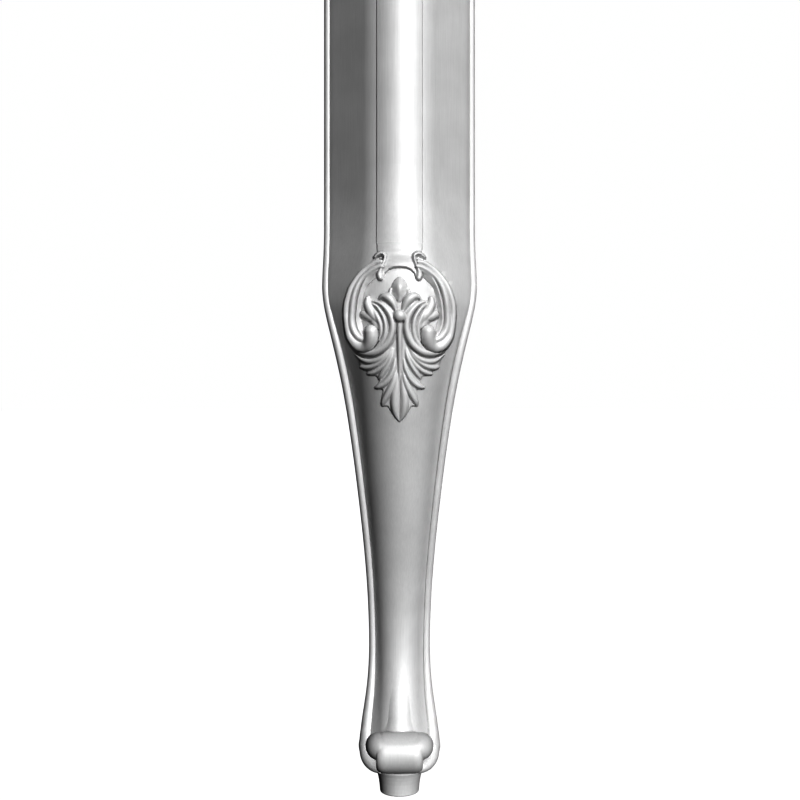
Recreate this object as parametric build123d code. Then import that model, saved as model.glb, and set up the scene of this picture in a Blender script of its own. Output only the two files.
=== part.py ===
from build123d import *
import os
from math import sqrt, sin, cos, tan, atan2, pi, hypot

os.makedirs("parts", exist_ok=True)

# A carved cabriole table leg, one piece of hardwood. Millimetres, +Z up.
# The origin is the centre of the round pad's underside. The post's four faces
# lie along X and Y: its two show faces look to +X and -Y, the rails meet it on
# its -X and +Y faces. The leg is symmetric about the vertical plane through
# the front corner (+X, -Y) and the back corner (-X, +Y).
# U is the distance out along that diagonal, towards the front corner, and
# V is the distance across it, so X = (U + V) / sqrt2 and Y = (V - U) / sqrt2.

# ---- driving dimensions -------------------------------------------------
HEIGHT = 720.0            # floor to the top of the post
POST = 92.0               # side of the square post
POST_FOOT_Z = 515.3       # below this the post turns into the knee
POST_JOIN_Z = 560.0       # the post is straight stock above this height
POST_U = -9.0             # the post's axis lies this far behind the pad's axis
BEAD_R = 34.0             # radius of the front bead's face
BEAD_EDGE = 1.2           # its edges stand this far off the corner's rounding
BEAD_HALF_WIDTH = 18.2    # half the width of the front bead
BEAD_END_Z = 447.0        # the front bead stops here, inside the cuff
PAD_R_BOTTOM = 16.2       # round pad, underside
PAD_R_TOP = 19.4          # round pad, where it meets the foot
PAD_H = 19.0              # round pad, height up to the foot
TOE_U = 17.5              # the toe roll lies this far in front of the pad's axis
TOE_Z = 37.2              # and this high
TOE_R = 16.6              # outer radius of the scroll toe
TOE_HALF_WIDTH = 18.9     # half the width of the toe's middle band
EYE_U = 15.5              # the same four for its eyes
EYE_Z = 42.6
EYE_R = 10.8
EYE_HALF_WIDTH = 27.6
# The strap that sweeps under each eye to the toe: U, V, Z and radius
STRAP = [(-4.6, 26.6, 53.0, 4.9), (-4.2, 27.2, 46.0, 5.9), (-3.0, 27.4, 39.5, 6.2), (-0.2, 27.5, 33.6, 5.9),
         (4.2, 26.5, 28.8, 5.4), (8.8, 23.8, 25.6, 4.8), (12.8, 20.0, 23.9, 4.3), (16.0, 15.0, 23.4, 4.0)]

# Template of the leg: height, front face, width of the square, radius of the
# corner bead, depth of the sunk panel, rounding of the front corner and of the
# back corner, and how many degrees the sunk panel leans back from the face.
# The front face is the distance of the show faces' plane from the post's axis
# plane, measured square to the face.
#    z      front  width  bead sunk front_r back_r lean
LEVELS = [
    (515.3, 46.0, 92.0, 3.6, 2.0, 41.0, 1.5, 0.0),
    (494.8, 46.8, 91.9, 3.6, 2.0, 41.0, 1.6, 0.0),
    (477.4, 48.8, 91.6, 3.6, 2.0, 41.2, 2.0, 0.0),
    (459.9, 52.1, 91.3, 3.6, 2.0, 42.0, 2.6, 0.0),
    (442.4, 56.5, 91.6, 3.7, 2.0, 44.0, 3.4, 0.0),
    (428.7, 59.7, 92.2, 3.8, 1.9, 46.0, 4.4, 0.0),
    (416.8, 61.9, 92.2, 3.9, 1.9, 47.4, 5.4, 0.0),
    (405.1, 62.6, 90.4, 4.0, 1.8, 47.8, 6.2, 0.0),
    (393.5, 62.0, 87.0, 3.9, 1.8, 47.2, 6.8, 1.5),
    (378.7, 60.1, 81.9, 3.8, 1.8, 45.2, 7.2, 4.0),
    (363.9, 57.5, 76.8, 3.7, 1.8, 42.8, 7.4, 6.5),
    (344.3, 53.3, 70.6, 3.5, 1.8, 39.4, 7.4, 8.5),
    (322.9, 48.5, 65.0, 3.4, 1.8, 36.6, 7.2, 9.5),
    (299.7, 43.4, 60.0, 3.3, 1.8, 34.2, 7.0, 10.0),
    (274.7, 38.2, 55.2, 3.2, 1.8, 31.8, 6.8, 10.5),
    (249.5, 33.0, 51.0, 3.2, 1.8, 29.4, 6.6, 11.0),
    (222.4, 27.1, 46.9, 3.2, 1.8, 26.8, 6.4, 12.0),
    (195.3, 21.3, 43.4, 3.2, 1.8, 24.4, 6.2, 12.0),
    (168.1, 16.2, 40.7, 3.2, 1.8, 22.4, 6.0, 11.5),
    (144.3, 13.0, 39.1, 3.1, 1.8, 21.0, 6.0, 11.0),
    (122.2, 11.9, 38.4, 3.1, 1.8, 20.0, 6.2, 10.0),
    (106.9, 12.3, 38.8, 3.3, 1.9, 19.6, 6.4, 10.0),
    (91.7, 14.0, 40.3, 3.7, 2.1, 19.6, 6.8, 9.5),
    (78.3, 16.9, 42.7, 4.3, 2.4, 19.9, 7.4, 9.0),
    (66.8, 20.4, 45.5, 4.9, 2.6, 20.4, 8.0, 7.5),
    (55.5, 24.8, 48.4, 5.6, 2.8, 20.9, 8.4, 5.5),
    (44.2, 29.4, 50.5, 6.2, 2.9, 21.3, 8.7, 3.5),
    (36.1, 30.6, 52.0, 6.4, 2.6, 21.5, 8.8, 1.5),
]
# The foot rounds in under the toe to the pad.
SOLE_LEVELS = [
    (36.1, 30.6, 52.0, 6.4, 2.6, 21.5, 8.8, 1.5),
    (30.5, 30.2, 50.2, 6.4, 2.1, 21.4, 8.8, 0.0),
    (25.5, 29.3, 46.4, 6.2, 1.5, 20.4, 8.6, 0.0),
    (21.5, 26.6, 39.9, 5.8, 0.9, 18.4, 8.2, 0.0),
    (19, 23.8, 33.8, 5.2, 0.5, 16.0, 7.6, 0.0),
]
# ---- carving, on the knee's front ---------------------------------------
# Centre lines of the carved ribs, right half: V, Z and the rib's radius.
STRANDS = {
    "strand_1": [(20.9, 403.7, 0.71), (17.3, 402.8, 1.42), (13.1, 400.3, 1.89), (8.3, 394.6, 2.36), (5.8, 387.5, 2.52), (6.0, 379.5, 2.75), (9.8, 370.7, 3.08), (17.4, 364.7, 3.33), (25.1, 363.5, 3.34), (31.6, 365.0, 2.72), (36.6, 369.2, 1.61)],
    "strand_2": [(21.3, 402.0, 0.71), (16.8, 398.2, 1.50), (12.3, 390.7, 1.89), (10.9, 382.1, 2.05), (12.5, 374.2, 2.05), (16.9, 368.3, 1.90), (21.8, 365.7, 0.95)],
    "strand_3": [(22.1, 399.6, 1.11), (17.8, 392.4, 2.05), (15.0, 385.3, 1.89), (14.7, 379.0, 1.58), (16.2, 373.2, 0.95)],
    "lobe_top": [(24.7, 406.1, 1.58), (25.2, 402.5, 2.37), (23.6, 398.1, 2.77), (20.5, 393.3, 2.53), (16.6, 388.1, 1.26)],
    "lobe_side": [(28.9, 393.7, 1.90), (26.6, 393.3, 2.77), (23.3, 392.3, 2.53), (18.9, 389.7, 1.26)],
    "petal": [(2.7, 396.1, 0.94), (4.7, 401.2, 2.67), (8.0, 405.6, 3.61), (11.8, 407.5, 2.75), (14.6, 406.8, 1.50), (16.1, 405.6, 0.63)],
    "under": [(15.7, 402.4, 1.26), (10.7, 400.9, 2.67), (6.6, 396.9, 2.51), (3.9, 392.2, 1.10)],
    "leaf_a": [(35.7, 362.7, 0.72), (28.8, 357.9, 1.92), (21.9, 356.9, 2.31), (14.7, 359.5, 2.30), (9.3, 365.3, 1.58), (6.3, 371.1, 0.79)],
    "leaf_b": [(30.9, 352.6, 1.21), (27.2, 352.0, 2.16), (21.9, 352.8, 2.31), (16.2, 355.7, 2.14), (10.6, 361.4, 1.82), (7.1, 368.0, 0.95)],
    "leaf_c": [(25.3, 347.0, 1.12), (21.9, 347.6, 1.92), (17.3, 349.9, 2.07), (12.2, 354.4, 1.98), (8.1, 360.7, 1.66), (5.7, 367.2, 0.95)],
    "leaf_d": [(16.6, 343.2, 0.88), (14.2, 346.4, 1.91), (10.0, 352.4, 2.14), (6.6, 359.4, 1.82), (4.9, 366.4, 0.95)],
    "leaf_e": [(19.2, 336.0, 1.04), (16.4, 336.9, 2.15), (11.9, 339.6, 2.47), (7.8, 344.5, 2.38), (4.9, 350.8, 1.90), (3.3, 358.6, 0.95)],
    "leaf_f": [(13.8, 322.0, 1.04), (12.6, 325.4, 2.24), (9.9, 330.2, 2.71), (6.7, 336.2, 2.63), (4.3, 342.6, 2.06), (2.7, 350.0, 0.95)],
    "leaf_tip": [(0.6, 309.8, 0.80), (2.7, 315.4, 2.56), (3.8, 322.2, 3.43), (3.7, 330.2, 3.19), (2.5, 338.9, 2.07), (1.7, 346.8, 0.95)],
    "hook": [(16.1, 424.5, 1.03), (14.9, 428.5, 1.19), (13.1, 433.1, 1.19), (11.7, 437.2, 1.27), (11.9, 440.3, 1.35), (14.1, 441.9, 1.43), (17.0, 441.4, 1.43), (19.6, 439.2, 1.03)],
    "rib": [(0.0, 387.5, 1.18), (0.0, 377.3, 1.50), (0.0, 365.6, 1.42), (0.0, 353.9, 1.19), (0.0, 342.1, 0.71)],
    "bud": [(0.0, 421.9, 1.26), (0.0, 418.5, 4.09), (0.0, 414.5, 6.29), (0.0, 411.0, 5.50), (0.0, 407.5, 3.45), (0.0, 403.5, 1.10)],
    "bud_side": [(6.8, 413.0, 1.34), (7.4, 410.6, 1.26), (6.0, 407.5, 1.10)],
}
# The ring's two tubes and the comma they curl into.
RING = {
    "outer": [(14.6, 435.1, 1.8), (19.3, 434.3, 2.05), (24.5, 431.1, 2.35), (29.4, 427.1, 2.55), (34.0, 421.7, 2.65), (37.7, 415.8, 2.75), (40.2, 409.5, 2.75), (42.1, 401.9, 2.85), (42.3, 392.4, 3.0), (40.3, 379.8, 3.5), (37.3, 373.7, 4.1), (32.5, 369.0, 4.6), (27.6, 367.6, 4.4)],
    "inner": [(13.7, 431.2, 1.2), (16.7, 430.8, 1.3), (21.2, 428.7, 1.5), (24.8, 426.3, 1.6), (28.8, 423.1, 1.6), (32.3, 418.1, 1.6), (35.0, 411.9, 1.7), (36.9, 403.7, 1.8), (37.9, 393.6, 1.95), (37.6, 386.5, 2.3), (35.8, 380.5, 2.4), (32.3, 375.8, 2.3), (28.0, 373.5, 1.6)],
    "comma": [(33.2, 369.4, 4.0), (28.6, 367.6, 4.6), (24.0, 368.6, 4.9), (21.7, 372.6, 5.2), (21.2, 376.6, 5.35), (21.6, 380.2, 5.49)],
}
# Outline of the leaf's thin ground and of the cuff over the scrolls.
LEAF_OUTLINE = [(0.0, 381.2), (9.5, 369.6), (17.4, 361.5), (28.8, 360.2), (36.1, 363.3), (34.4, 359.6), (32.3, 355.6), (31.7, 353.1), (29.8, 350.7), (27.2, 350.0), (26.0, 349.1), (25.4, 346.6), (22.9, 345.4), (18.9, 345.3), (15.9, 342.5), (16.6, 340.2), (19.3, 336.4), (17.4, 334.8), (13.1, 334.3), (14.4, 328.6), (13.5, 320.9), (9.5, 321.2), (7.7, 318.2), (4.4, 312.6), (0.0, 308.2)]
CUFF_OUTLINE = [(0.0, 447.0), (16.4, 447.4), (16.3, 443.2), (13.9, 440.1), (12.5, 436.8), (14.2, 431.5), (16.4, 426.2), (17.9, 422.4), (15.4, 420.4), (13.1, 420.8), (11.4, 426.1), (8.2, 428.9), (5.0, 430.1), (0.0, 430.5)]
# Outline of the ring's sloping inner wall, and of the comma it curls into.
WALL_OUTLINE = [(16.1, 428.7), (20.4, 427.1), (25.1, 424.2), (28.3, 419.3), (31.0, 412.7), (33.3, 404.1), (34.5, 393.2), (34.1, 386.2), (32.3, 381.0), (27.8, 376.6), (29.4, 386.9), (30.5, 392.2), (30.1, 398.1), (29.0, 405.4), (27.9, 410.9), (26.1, 415.0), (23.4, 418.2), (19.7, 421.5), (17.0, 424.4)]
COMMA = [(31.0, 363.4), (24.2, 363.8), (18.6, 367.0), (15.9, 373.0), (15.8, 380.0), (18.4, 385.0), (22.0, 386.2), (25.6, 384.6), (27.4, 381.0), (26.6, 376.4), (28.6, 373.6), (33.0, 374.0)]
LEAF_RISE = 3.0           # the leaf and its ribs stand this far off the knee
RING_RISE = 7.5           # the ring stands this far off its own ground
RING_FALL = 0.5           # which falls back this much per mm beyond RING_V
RING_V = 25.0
CUFF_PROUD = 4.8          # the cuff stands this far off it
BALL_R = 5.0              # ball in the middle of the carving
BALL_Z = 391.8
AXIS = POST_U / sqrt(2)   # the post's axis in X (and minus it in Y)


def xy(u, v):
    return ((u + v) / sqrt(2), (v - u) / sqrt(2))


def section(z, front, width, bead, sunk, front_r, back_r, lean):
    """Closed outline of the leg at one height: two plain back faces, a round
    bead on each side corner, sunk panels and a rounded front corner."""
    f = AXIS + front
    b = f - width
    r, q, fr = bead, back_r, front_r
    c = f - sunk - fr
    tilt = lean * pi / 180
    cx, cy = f - r, -b - r
    x4, y4 = c + fr * cos(tilt), -c + fr * sin(tilt)
    deep = sunk
    for _ in range(12):
        # where the panel runs into the bead
        reach = sqrt(r * r - (r - deep) ** 2)
        deep = f - x4 + tan(tilt) * (cy - reach - y4)

    def half(sign):
        # points on the +X show face (sign 1) or, mirrored, on the -Y one
        def m(x, y):
            return (x, y, z) if sign > 0 else (-y, -x, z)
        k = 1 / sqrt(2)
        back_mid = m(b + q - q * k, -(b + q - q * k))
        a0 = m(b + q, -b)
        a1 = m(cx, -b)
        end = (f - deep, cy - reach)
        tm = (pi / 2 + atan2(end[1] - cy, end[0] - cx)) / 2
        a_mid = m(cx + r * cos(tm), cy + r * sin(tm))
        front_mid = m(c + fr * k, -(c + fr * k))
        return back_mid, a0, a1, a_mid, m(*end), m(x4, y4), front_mid

    bm, r0, r1, rm, r3, r4, fm = half(1)
    _, l0, l1, lm, l3, l4, _ = half(-1)
    return Wire([
        ThreePointArc(l0, bm, r0).edge(),
        Line(r0, r1).edge(),
        ThreePointArc(r1, rm, r3).edge(),
        Line(r3, r4).edge(),
        ThreePointArc(r4, fm, l4).edge(),
        Line(l4, l3).edge(),
        ThreePointArc(l3, lm, l1).edge(),
        Line(l1, l0).edge(),
    ])


def hermite(table, col, z):
    """Value of one template column at height z, smooth between levels."""
    pts = sorted((row[0], row[col]) for row in table)
    if z <= pts[0][0]:
        return pts[0][1]
    if z >= pts[-1][0]:
        return pts[-1][1]
    for i in range(len(pts) - 1):
        if pts[i][0] <= z <= pts[i + 1][0]:
            break
    x0, y0 = pts[i]
    x1, y1 = pts[i + 1]
    h = x1 - x0

    def slope(k):
        if k == 0 or k == len(pts) - 1:
            return 0.0
        return (pts[k + 1][1] - pts[k - 1][1]) / (pts[k + 1][0] - pts[k - 1][0])
    m0, m1 = slope(i), slope(i + 1)
    t = (z - x0) / h
    return ((2 * t ** 3 - 3 * t ** 2 + 1) * y0 + (t ** 3 - 2 * t ** 2 + t) * h * m0
            + (-2 * t ** 3 + 3 * t ** 2) * y1 + (t ** 3 - t ** 2) * h * m1)


def surface_u(v, z, lift=0.0):
    """U of the leg's front surface (panels and front rounding) at V and Z."""
    front = hermite(LEVELS, 1, z)
    s = hermite(LEVELS, 4, z)
    fr = hermite(LEVELS, 5, z)
    tilt = (45.0 + hermite(LEVELS, 7, z)) * pi / 180
    c = sqrt(2) * (AXIS + front - s - fr)
    fr += lift
    v = abs(v)
    if v < fr * sin(tilt):
        return c + sqrt(fr * fr - v * v)
    return c + fr * cos(tilt) - tan(tilt) * (v - fr * sin(tilt))


def ring_u(v, z):
    """U of the ring's crest: its ground falls off less than the panels do."""
    v = abs(v)
    u = surface_u(min(v, RING_V), z) - RING_FALL * max(v - RING_V, 0.0)
    return u + RING_RISE


post = extrude(Face(section(POST_JOIN_Z, *LEVELS[0][1:])), HEIGHT - POST_JOIN_Z, dir=(0, 0, 1)).solid()
straight = [section(z, *LEVELS[0][1:]) for z in (POST_JOIN_Z, 545.0, 530.0)]
body = Solid.make_loft(straight + [section(*row) for row in LEVELS])
sole = Solid.make_loft([section(*row) for row in SOLE_LEVELS])


def bead_section(z):
    """Segment of a circle over the front corner, its edges just off it."""
    h = BEAD_HALF_WIDTH
    edge = surface_u(h, z) + BEAD_EDGE
    crown = edge + BEAD_R - sqrt(BEAD_R ** 2 - h * h)
    p0, p1, p2 = (Vector(*xy(u, v), z) for u, v in ((edge, -h), (crown, 0), (edge, h)))
    q0, q2 = (Vector(*xy(edge - 9, v), z) for v in (-h, h))
    return Wire([ThreePointArc(p0, p1, p2).edge(), Line(p2, q2).edge(),
                 Line(q2, q0).edge(), Line(q0, p0).edge()])


def one(shape):
    return max(shape.solids(), key=lambda x: x.volume)


bead = extrude(Face(bead_section(POST_JOIN_Z)), HEIGHT - POST_JOIN_Z, dir=(0, 0, 1)).solid()
bead_low = Solid.make_loft([bead_section(z) for z in
                            (POST_JOIN_Z, 545.0, 530.0, POST_FOOT_Z, 500.0, 485.0, 470.0, 458.0, BEAD_END_Z - 6)])

across = Vector(1, 1, 0).normalized()
outward = Vector(1, -1, 0).normalized()


def drum(u, z, r, half, edge):
    """A drum lying across the front of the foot, with rounded ends."""
    start = Vector(*xy(u, -half), z)
    d = Solid.make_cylinder(r, 2 * half, Plane(start, z_dir=across))
    return d.fillet(edge, d.edges().filter_by(GeomType.CIRCLE))


# Scroll toe: a round roll across the front of the foot, with a smaller eye
# that shows at either end of it.
toe = drum(TOE_U, TOE_Z, TOE_R, TOE_HALF_WIDTH, 2.5)
eyes = drum(EYE_U, EYE_Z, EYE_R, EYE_HALF_WIDTH, 9.0)
pad = Solid.make_cone(PAD_R_BOTTOM, PAD_R_TOP, PAD_H + 2)


def strap(sign):
    """Round strap along the points of STRAP, on one side."""
    pts = [Vector(*xy(u, sign * v), z) for u, v, z, _ in STRAP]
    path = Spline(pts).edge()
    rings = []
    for (u, v, z, r), p in zip(STRAP, pts):
        k = path.param_at_point(p)
        rings.append(Wire([Edge.make_circle(r, Plane(origin=p, z_dir=path.tangent_at(k)))]))
    return Solid.make_loft(rings)


straps = [strap(1), strap(-1)]

# ---- the knee's carving: outlines drawn across the front corner, cut back
# to follow the knee at a fixed height off it, one height over another ----
view = Plane(origin=(0, 0, 0), x_dir=across, z_dir=outward)


def rib_outline(points, k):
    """Both halves of one rib, drawn flat, k times its full width."""
    n = len(points)
    one_side, other_side = [], []
    for i, (v, z, r) in enumerate(points):
        a, b = points[max(i - 1, 0)], points[min(i + 1, n - 1)]
        dv, dz = b[0] - a[0], b[1] - a[1]
        d = hypot(dv, dz)
        nv, nz = -dz / d * r * k, dv / d * r * k
        one_side.append((v + nv, z + nz))
        other_side.append((v - nv, z - nz))
    faces = []
    for s in (1, -1):
        p = [(s * v, z) for v, z in one_side]
        q = [(s * v, z) for v, z in other_side]
        e = [Spline(p).edge(), Line(p[-1], q[-1]).edge(), Spline(list(reversed(q))).edge(), Line(q[0], p[0]).edge()]
        faces.append(Face(Wire(e)))
    return faces


def flat(outline):
    """A symmetric outline drawn flat."""
    pts = [(v, z) for v, z in outline] + [(-v, z) for v, z in reversed(outline) if v > 0.01]
    return Face(Wire.make_polygon([Vector(v, z) for v, z in pts], close=True))


def knee_shell(top, z0, z1, steps=9):
    """Everything behind a surface over the knee's front."""
    rows = []
    for i in range(steps):
        z = z0 + (z1 - z0) * i / (steps - 1)
        pts = [Vector(*xy(top(v, z), v), z) for v in [50.0 * k / 12 for k in range(-12, 13)]]
        b0, b1 = Vector(*xy(-12, -50), z), Vector(*xy(-12, 50), z)
        rows.append(Wire([Spline(pts).edge(), Line(pts[-1], b1).edge(), Line(b1, b0).edge(), Line(b0, pts[0]).edge()]))
    return Solid.make_loft(rows)


def tier(faces, top, z0=300.0, z1=452.0):
    """Outlines drawn flat, merged and cut to stand off the knee."""
    sketch = Sketch() + faces
    shell = knee_shell(top, z0, z1)
    got = []
    for f in (view * sketch).faces():
        block = Solid.extrude(f, outward * 90)
        got += [x for x in block.intersect(shell).solids() if x.volume > 1.0]
    return got


ring = rib_outline(RING["outer"], 1.0) + rib_outline(RING["inner"], 1.0)
ring += [Face(Wire([Spline([(k * v, z) for v, z in COMMA], periodic=True).edge()])) for k in (1, -1)]
low = [flat(LEAF_OUTLINE)]
for name, points in STRANDS.items():
    if name not in ("hook", "bud", "bud_side"):
        low += rib_outline(points, 1.0)
low += [Face(Wire.make_polygon([Vector(k * v, z) for v, z in WALL_OUTLINE], close=True)) for k in (1, -1)]
bud = STRANDS["bud"]
low.append(flat([(0, bud[0][1] + 1)] + [(r, z) for _, z, r in bud] + [(0, bud[-1][1] - 1)]))
cuff = flat(CUFF_OUTLINE)
ball = Solid.make_sphere(BALL_R, Plane(Vector(*xy(surface_u(0, BALL_Z) + 2.9, 0), BALL_Z)), angle1=-90, angle2=90)
carving = tier(low, lambda v, z: surface_u(v, z, LEAF_RISE))
carving += tier(ring, ring_u, 340.0, 452.0)
carving += tier([cuff], lambda v, z: surface_u(v, z, CUFF_PROUD), 408.0, 452.0) + [ball]

leg = post.fuse(body)
for piece in [sole, bead, bead_low, eyes, toe, pad] + straps:
    leg = one(leg.fuse(piece))
relief = carving[0].fuse(*carving[1:]).solids()
leg = one(leg.fuse(*relief))
export_step(leg, "parts/leg.step")
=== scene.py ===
import math

import bpy
import numpy as np
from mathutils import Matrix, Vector


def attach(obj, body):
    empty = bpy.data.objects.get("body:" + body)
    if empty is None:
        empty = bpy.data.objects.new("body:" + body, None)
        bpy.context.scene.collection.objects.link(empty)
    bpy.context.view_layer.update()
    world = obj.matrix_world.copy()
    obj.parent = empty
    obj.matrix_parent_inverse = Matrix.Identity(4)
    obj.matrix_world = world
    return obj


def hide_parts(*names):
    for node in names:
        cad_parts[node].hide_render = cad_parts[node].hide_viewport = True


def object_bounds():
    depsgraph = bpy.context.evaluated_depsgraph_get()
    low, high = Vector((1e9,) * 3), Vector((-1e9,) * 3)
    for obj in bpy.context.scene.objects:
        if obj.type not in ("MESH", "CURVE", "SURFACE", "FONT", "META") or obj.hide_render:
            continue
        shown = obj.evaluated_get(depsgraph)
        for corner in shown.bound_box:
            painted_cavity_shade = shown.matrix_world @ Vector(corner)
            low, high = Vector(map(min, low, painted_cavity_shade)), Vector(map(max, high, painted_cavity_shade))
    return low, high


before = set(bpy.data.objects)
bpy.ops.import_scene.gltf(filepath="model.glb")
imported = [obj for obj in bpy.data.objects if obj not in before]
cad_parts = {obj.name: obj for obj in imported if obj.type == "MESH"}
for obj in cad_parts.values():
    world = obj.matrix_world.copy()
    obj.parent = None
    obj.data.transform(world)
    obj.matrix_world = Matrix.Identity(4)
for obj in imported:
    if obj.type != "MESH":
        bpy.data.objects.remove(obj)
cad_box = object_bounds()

# ---------------------------------------------------------------- the form
# Lengths are in millimetres until the meshes are made. U points out along the
# leg's diagonal to the front corner, V lies across it, Z is up.
HEIGHT = 720.0
POST_FOOT_Z = 515.3
AXIS = -9.0 / math.sqrt(2)
BEAD_R = 34.0
BEAD_EDGE = 1.2
BEAD_HALF_WIDTH = 18.2
R2 = math.sqrt(2)

#    z      front  width bead sunk front_r back_r lean
LEVELS = np.array([
    (720.0, 46.0, 92.0, 3.6, 2.0, 41.0, 1.5, 0.0),
    (640.0, 46.0, 92.0, 3.6, 2.0, 41.0, 1.5, 0.0),
    (570.0, 46.0, 92.0, 3.6, 2.0, 41.0, 1.5, 0.0),
    (535.0, 46.0, 92.0, 3.6, 2.0, 41.0, 1.5, 0.0),
    (515.3, 46.0, 92.0, 3.6, 2.0, 41.0, 1.5, 0.0),
    (494.8, 46.8, 91.9, 3.6, 2.0, 41.0, 1.6, 0.0),
    (477.4, 48.8, 91.6, 3.6, 2.0, 41.2, 2.0, 0.0),
    (459.9, 52.1, 91.3, 3.6, 2.0, 42.0, 2.6, 0.0),
    (442.4, 56.5, 91.6, 3.7, 2.0, 44.0, 3.4, 0.0),
    (428.7, 59.7, 92.2, 3.8, 1.9, 46.0, 4.4, 0.0),
    (416.8, 61.9, 92.2, 3.9, 1.9, 47.4, 5.4, 0.0),
    (405.1, 62.6, 90.4, 4.0, 1.8, 47.8, 6.2, 0.0),
    (393.5, 62.0, 87.0, 3.9, 1.8, 47.2, 6.8, 1.5),
    (378.7, 60.1, 81.9, 3.8, 1.8, 45.2, 7.2, 4.0),
    (363.9, 57.5, 76.8, 3.7, 1.8, 42.8, 7.4, 6.5),
    (344.3, 53.3, 70.6, 3.5, 1.8, 39.4, 7.4, 8.5),
    (322.9, 48.5, 65.0, 3.4, 1.8, 36.6, 7.2, 9.5),
    (299.7, 43.4, 60.0, 3.3, 1.8, 34.2, 7.0, 10.0),
    (274.7, 38.2, 55.2, 3.2, 1.8, 31.8, 6.8, 10.5),
    (249.5, 33.0, 51.0, 3.2, 1.8, 29.4, 6.6, 11.0),
    (222.4, 27.1, 46.9, 3.2, 1.8, 26.8, 6.4, 12.0),
    (195.3, 21.3, 43.4, 3.2, 1.8, 24.4, 6.2, 12.0),
    (168.1, 16.2, 40.7, 3.2, 1.8, 22.4, 6.0, 11.5),
    (144.3, 13.0, 39.1, 3.1, 1.8, 21.0, 6.0, 11.0),
    (122.2, 11.9, 38.4, 3.1, 1.8, 20.0, 6.2, 10.0),
    (106.9, 12.3, 38.8, 3.3, 1.9, 19.6, 6.4, 10.0),
    (91.7, 14.0, 40.3, 3.7, 2.1, 19.6, 6.8, 9.5),
    (78.3, 16.9, 42.7, 4.3, 2.4, 19.9, 7.4, 9.0),
    (66.8, 20.4, 45.5, 4.9, 2.6, 20.4, 8.0, 7.5),
    (55.5, 24.8, 48.4, 5.6, 2.8, 20.9, 8.4, 5.5),
    (44.2, 29.4, 50.5, 6.2, 2.9, 21.3, 8.7, 3.5),
    (36.1, 30.6, 52.0, 6.4, 2.6, 21.5, 8.8, 1.5),
    (30.5, 30.2, 50.2, 6.4, 2.1, 21.4, 8.8, 0.0),
    (25.5, 29.3, 46.4, 6.2, 1.5, 20.4, 8.6, 0.0),
    (21.5, 26.6, 39.9, 5.8, 0.9, 18.4, 8.2, 0.0),
    (19.0, 23.8, 33.8, 5.2, 0.5, 16.0, 7.6, 0.0),
])[::-1]


def smooth_at(z):
    """Template values at heights z: a smooth curve through the levels."""
    z = np.atleast_1d(np.asarray(z, float))
    x, y = LEVELS[:, 0], LEVELS[:, 1:]
    h = np.diff(x)[:, None]
    d = np.diff(y, axis=0) / h
    m = np.zeros_like(y)
    m[1:-1] = (d[:-1] * h[1:] + d[1:] * h[:-1]) / (h[1:] + h[:-1])
    m[0], m[-1] = d[0], d[-1]
    k = np.clip(np.searchsorted(x, z, side="right") - 1, 0, len(x) - 2)
    t = np.clip((z - x[k]) / (x[k + 1] - x[k]), 0, 1)[:, None]
    hk = h[k]
    return ((2 * t ** 3 - 3 * t ** 2 + 1) * y[k] + (t ** 3 - 2 * t ** 2 + t) * hk * m[k]
            + (-2 * t ** 3 + 3 * t ** 2) * y[k + 1] + (t ** 3 - t ** 2) * hk * m[k + 1])


def surface_u(v, z):
    """U of the show faces (panels and the rounding between them)."""
    shape = np.shape(z)
    front, width, bead, sunk, fr, back, lean = (c.reshape(shape) for c in smooth_at(np.ravel(z)).T)
    c = R2 * (AXIS + front - sunk - fr)
    a = np.abs(v)
    k = np.radians(45.0 + lean)
    arc = c + np.sqrt(np.maximum(fr * fr - a * a, 0.0))
    flat = c + fr * np.cos(k) - np.tan(k) * (a - fr * np.sin(k))
    return np.where(a < fr * np.sin(k), arc, flat)


def crest_u(v, z):
    """U of the ground that the ring stands on: it falls off less than the
    panels do."""
    a = np.abs(v)
    at = surface_u(np.full(np.shape(z), 25.0), z)
    return np.where(a < 25.0, surface_u(v, z), np.maximum(at - 0.5 * (a - 25.0), surface_u(v, z)))


def to_xyz(u, v, z):
    return np.stack([(u + v) / R2, (v - u) / R2, z], axis=-1) / 1000.0


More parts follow.
